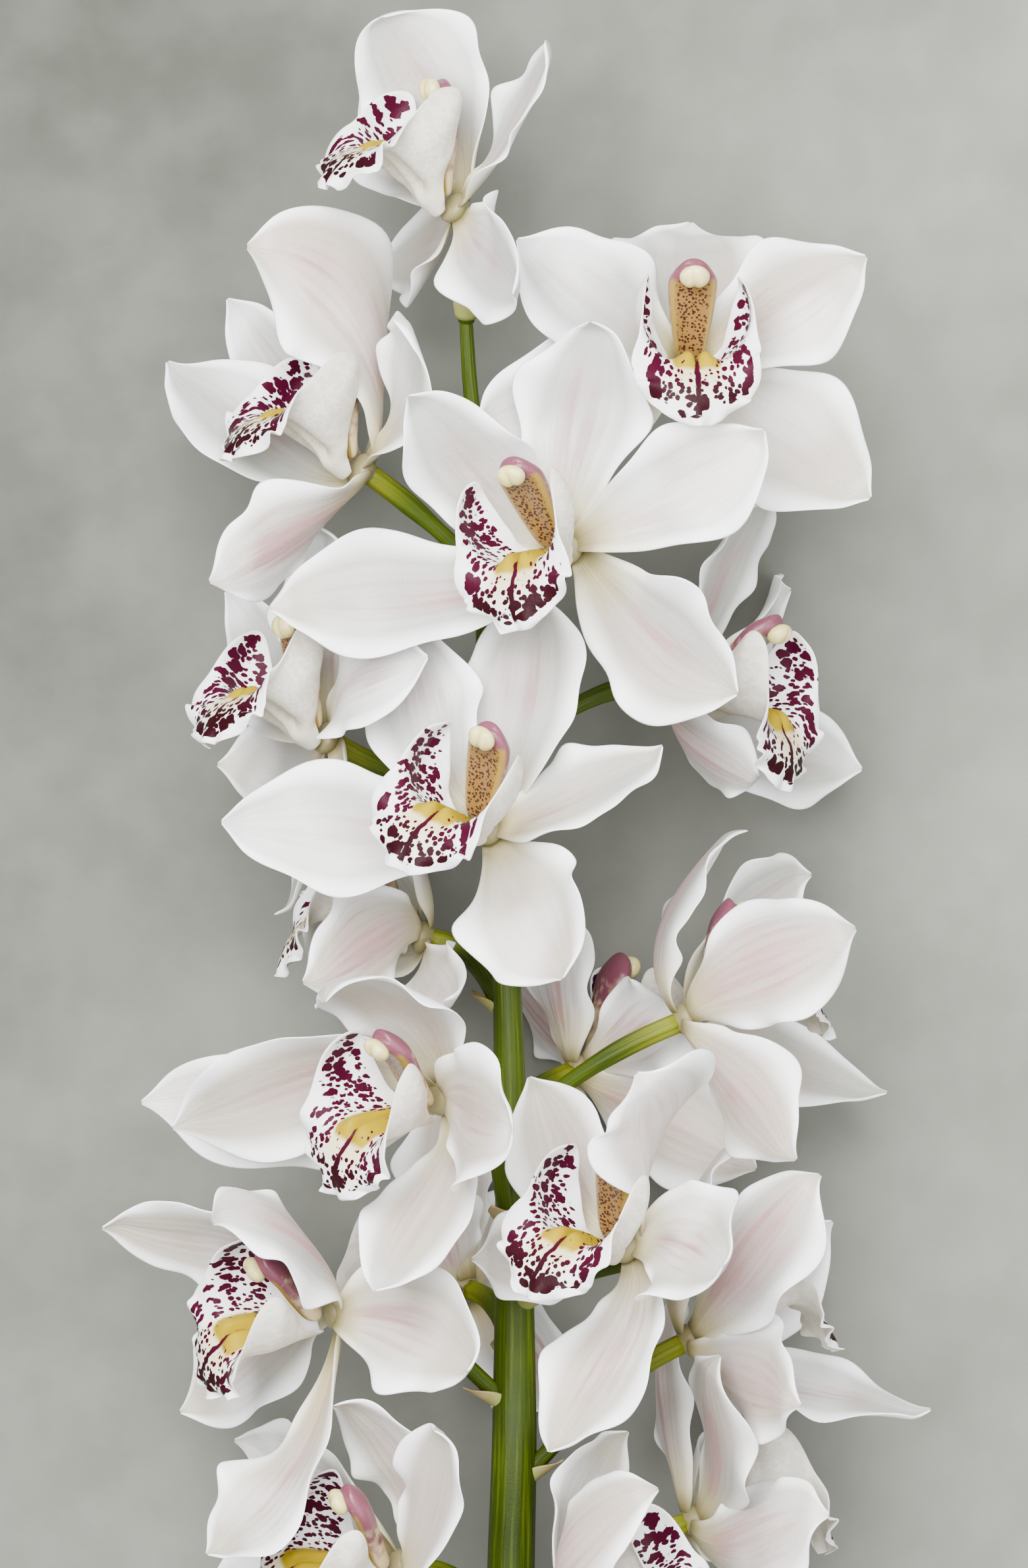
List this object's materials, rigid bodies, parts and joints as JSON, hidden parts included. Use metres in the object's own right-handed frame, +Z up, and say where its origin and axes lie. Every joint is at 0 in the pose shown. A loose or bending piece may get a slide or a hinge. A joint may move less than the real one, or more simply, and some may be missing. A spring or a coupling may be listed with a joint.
{
  "type": "cymbidium orchid stem",
  "caption": "Cut cymbidium orchid stem with white, wine-spotted blooms along an arching green stalk, lying on a surface for a vase or bouquet.",
  "frame": {"origin": "centre of the stem's footprint, at the height of the surface it lies on", "axes": "+Y along the stalk from its cut end to its tip, +Z up from the surface, +X to the right when seen from above with the tip away"},
  "size_m": [0.1877, 0.5559, 0.1297],
  "materials": {
    "green_stalk": "waxy green plant stalk",
    "white_tepals": "satin white petal with faint pink veins",
    "spotted_lip": "satin white petal with wine-red spots and a yellow crest",
    "column": "waxy pink and tan, with a cream cap"
  },
  "bodies": {
    "root": {"stem": "green_stalk", "bloom_t_tepals": "white_tepals", "bloom_t_lip": "spotted_lip", "bloom_t_column": "column", "bloom_e_tepals": "white_tepals", "bloom_e_lip": "spotted_lip", "bloom_e_column": "column", "bloom_c_tepals": "white_tepals", "bloom_c_lip": "spotted_lip", "bloom_c_column": "column", "bloom_d_tepals": "white_tepals", "bloom_d_lip": "spotted_lip", "bloom_d_column": "column", "bloom_l_tepals": "white_tepals", "bloom_l_lip": "spotted_lip", "bloom_l_column": "column", "bloom_b_tepals": "white_tepals", "bloom_b_lip": "spotted_lip", "bloom_b_column": "column", "bloom_a_tepals": "white_tepals", "bloom_a_lip": "spotted_lip", "bloom_a_column": "column", "bloom_k_tepals": "white_tepals", "bloom_k_lip": "spotted_lip", "bloom_k_column": "column", "bloom_n_tepals": "white_tepals", "bloom_n_lip": "spotted_lip", "bloom_n_column": "column", "bloom_r1_tepals": "white_tepals", "bloom_r1_lip": "spotted_lip", "bloom_r1_column": "column", "bloom_f_tepals": "white_tepals", "bloom_f_lip": "spotted_lip", "bloom_f_column": "column", "bloom_g_tepals": "white_tepals", "bloom_g_lip": "spotted_lip", "bloom_g_column": "column", "bloom_o_tepals": "white_tepals", "bloom_o_lip": "spotted_lip", "bloom_o_column": "column", "bloom_h_tepals": "white_tepals", "bloom_h_lip": "spotted_lip", "bloom_h_column": "column", "bloom_r2_tepals": "white_tepals", "bloom_r2_lip": "spotted_lip", "bloom_r2_column": "column", "bloom_r3_tepals": "white_tepals", "bloom_r3_lip": "spotted_lip", "bloom_r3_column": "column", "bloom_i_tepals": "white_tepals", "bloom_i_lip": "spotted_lip", "bloom_i_column": "column", "bloom_r4_tepals": "white_tepals", "bloom_r4_lip": "spotted_lip", "bloom_r4_column": "column"}
  },
  "joints": []
}
